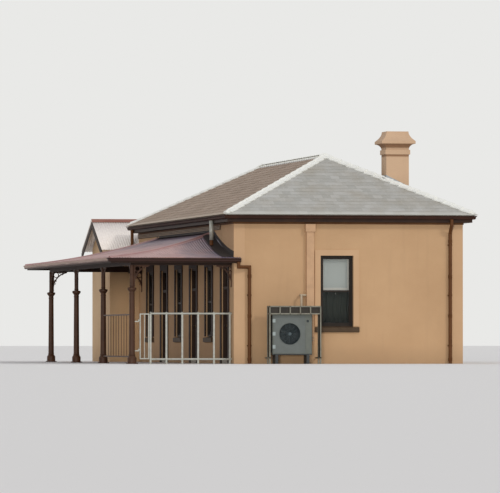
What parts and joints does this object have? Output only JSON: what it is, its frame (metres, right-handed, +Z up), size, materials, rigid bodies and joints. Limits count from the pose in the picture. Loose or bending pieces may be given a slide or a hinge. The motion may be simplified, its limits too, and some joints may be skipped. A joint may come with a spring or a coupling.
{
  "type": "railway station building",
  "caption": "Small rendered station building with a hipped slate roof, chimney, hipped iron verandah on posts along the platform side, and a gabled wing at one end.",
  "frame": {"origin": "middle of the building's plan at platform level", "axes": "+Z up, +Y along the platform away from the near end wall, +X away from the platform"},
  "size_m": [10.4154, 19.75, 6.54],
  "materials": {
    "rendered_wall": "fine sand render, painted tan",
    "stone_floor": "smooth concrete",
    "ceiling_board": "painted boards",
    "slate": "weathered slates",
    "zinc": "dull galvanised sheet",
    "brown_timber": "gloss paint, weathered",
    "brown_gutter": "gloss paint, weathered",
    "brown_pipe": "painted",
    "red_iron": "faded red oxide paint",
    "wing_iron": "galvanised sheet",
    "cast_brown": "painted",
    "glass": "clear",
    "blind_cloth": "plain cloth",
    "rail_steel": "galvanised tube",
    "unit_metal": "powder coat",
    "unit_plastic": "matt",
    "trunk_plastic": "painted to match the wall"
  },
  "bodies": {
    "building": {"ceiling": "ceiling_board", "chimney_cornice": "rendered_wall", "chimney_shaft": "rendered_wall", "door_heads": "brown_timber", "door_jambs": "brown_timber", "door_lintels": "rendered_wall", "door_transom_panes": "glass", "downpipes": "brown_pipe", "eave_fascias": "brown_timber", "eave_friezes": "brown_timber", "eave_soffits": "brown_timber", "end_railing": "rail_steel", "far_wall": "rendered_wall", "floor": "stone_floor", "gate_hangers": "rail_steel", "main_gutters": "brown_gutter", "near_wall": "rendered_wall", "pipe_clips": "brown_pipe", "pipe_trunking": "trunk_plastic", "platform_railing": "cast_brown", "platform_wall": "rendered_wall", "road_wall": "rendered_wall", "roof_cappings": "zinc", "roof_slope_far": "slate", "roof_slope_near": "slate", "roof_slope_platform": "slate", "roof_slope_road": "slate", "unit_casing": "unit_metal", "unit_fan": "unit_plastic", "unit_fan_grille": "unit_metal", "unit_feet": "unit_plastic", "unit_guard": "rail_steel", "unit_pipes": "unit_plastic", "verandah_beams": "brown_timber", "verandah_brackets": "cast_brown", "verandah_fascias": "brown_timber", "verandah_gutters": "brown_gutter", "verandah_ledger": "brown_timber", "verandah_posts": "cast_brown", "verandah_rafters": "brown_timber", "verandah_roof_far_end": "red_iron", "verandah_roof_front": "red_iron", "verandah_roof_near_end": "red_iron", "window_bands": "rendered_wall", "window_blinds": "blind_cloth", "window_frames": "brown_timber", "window_panes": "glass", "window_sashes": "brown_timber", "window_sills": "brown_timber", "wing_bargeboards": "brown_timber", "wing_floor": "stone_floor", "wing_gable_walls": "rendered_wall", "wing_ridge_cap": "red_iron", "wing_roof_far_slope": "wing_iron", "wing_roof_near_slope": "wing_iron", "wing_side_walls": "rendered_wall"},
    "platform_door_1": {"platform_door_1": "brown_timber"},
    "platform_door_2": {"platform_door_2": "brown_timber"},
    "platform_door_3": {"platform_door_3": "brown_timber"},
    "end_gate": {"end_gate": "rail_steel"}
  },
  "joints": [
    {"name": "platform_door_1_hinge", "type": "hinge", "parent": "building", "child": "platform_door_1", "pos_m": [-1.45474, -8.374, 1.1], "axis": [0, 0, -1], "range_deg": [0, 90]},
    {"name": "platform_door_2_hinge", "type": "hinge", "parent": "building", "child": "platform_door_2", "pos_m": [-1.45474, -3.514, 1.1], "axis": [0, 0, -1], "range_deg": [0, 90]},
    {"name": "platform_door_3_hinge", "type": "hinge", "parent": "building", "child": "platform_door_3", "pos_m": [-1.45474, 1.346, 1.1], "axis": [0, 0, -1], "range_deg": [0, 90]},
    {"name": "end_gate_hinge", "type": "hinge", "parent": "building", "child": "end_gate", "pos_m": [-4.24274, -8.925, 0.7], "axis": [0, 0, -1], "range_deg": [0, 90]}
  ]
}
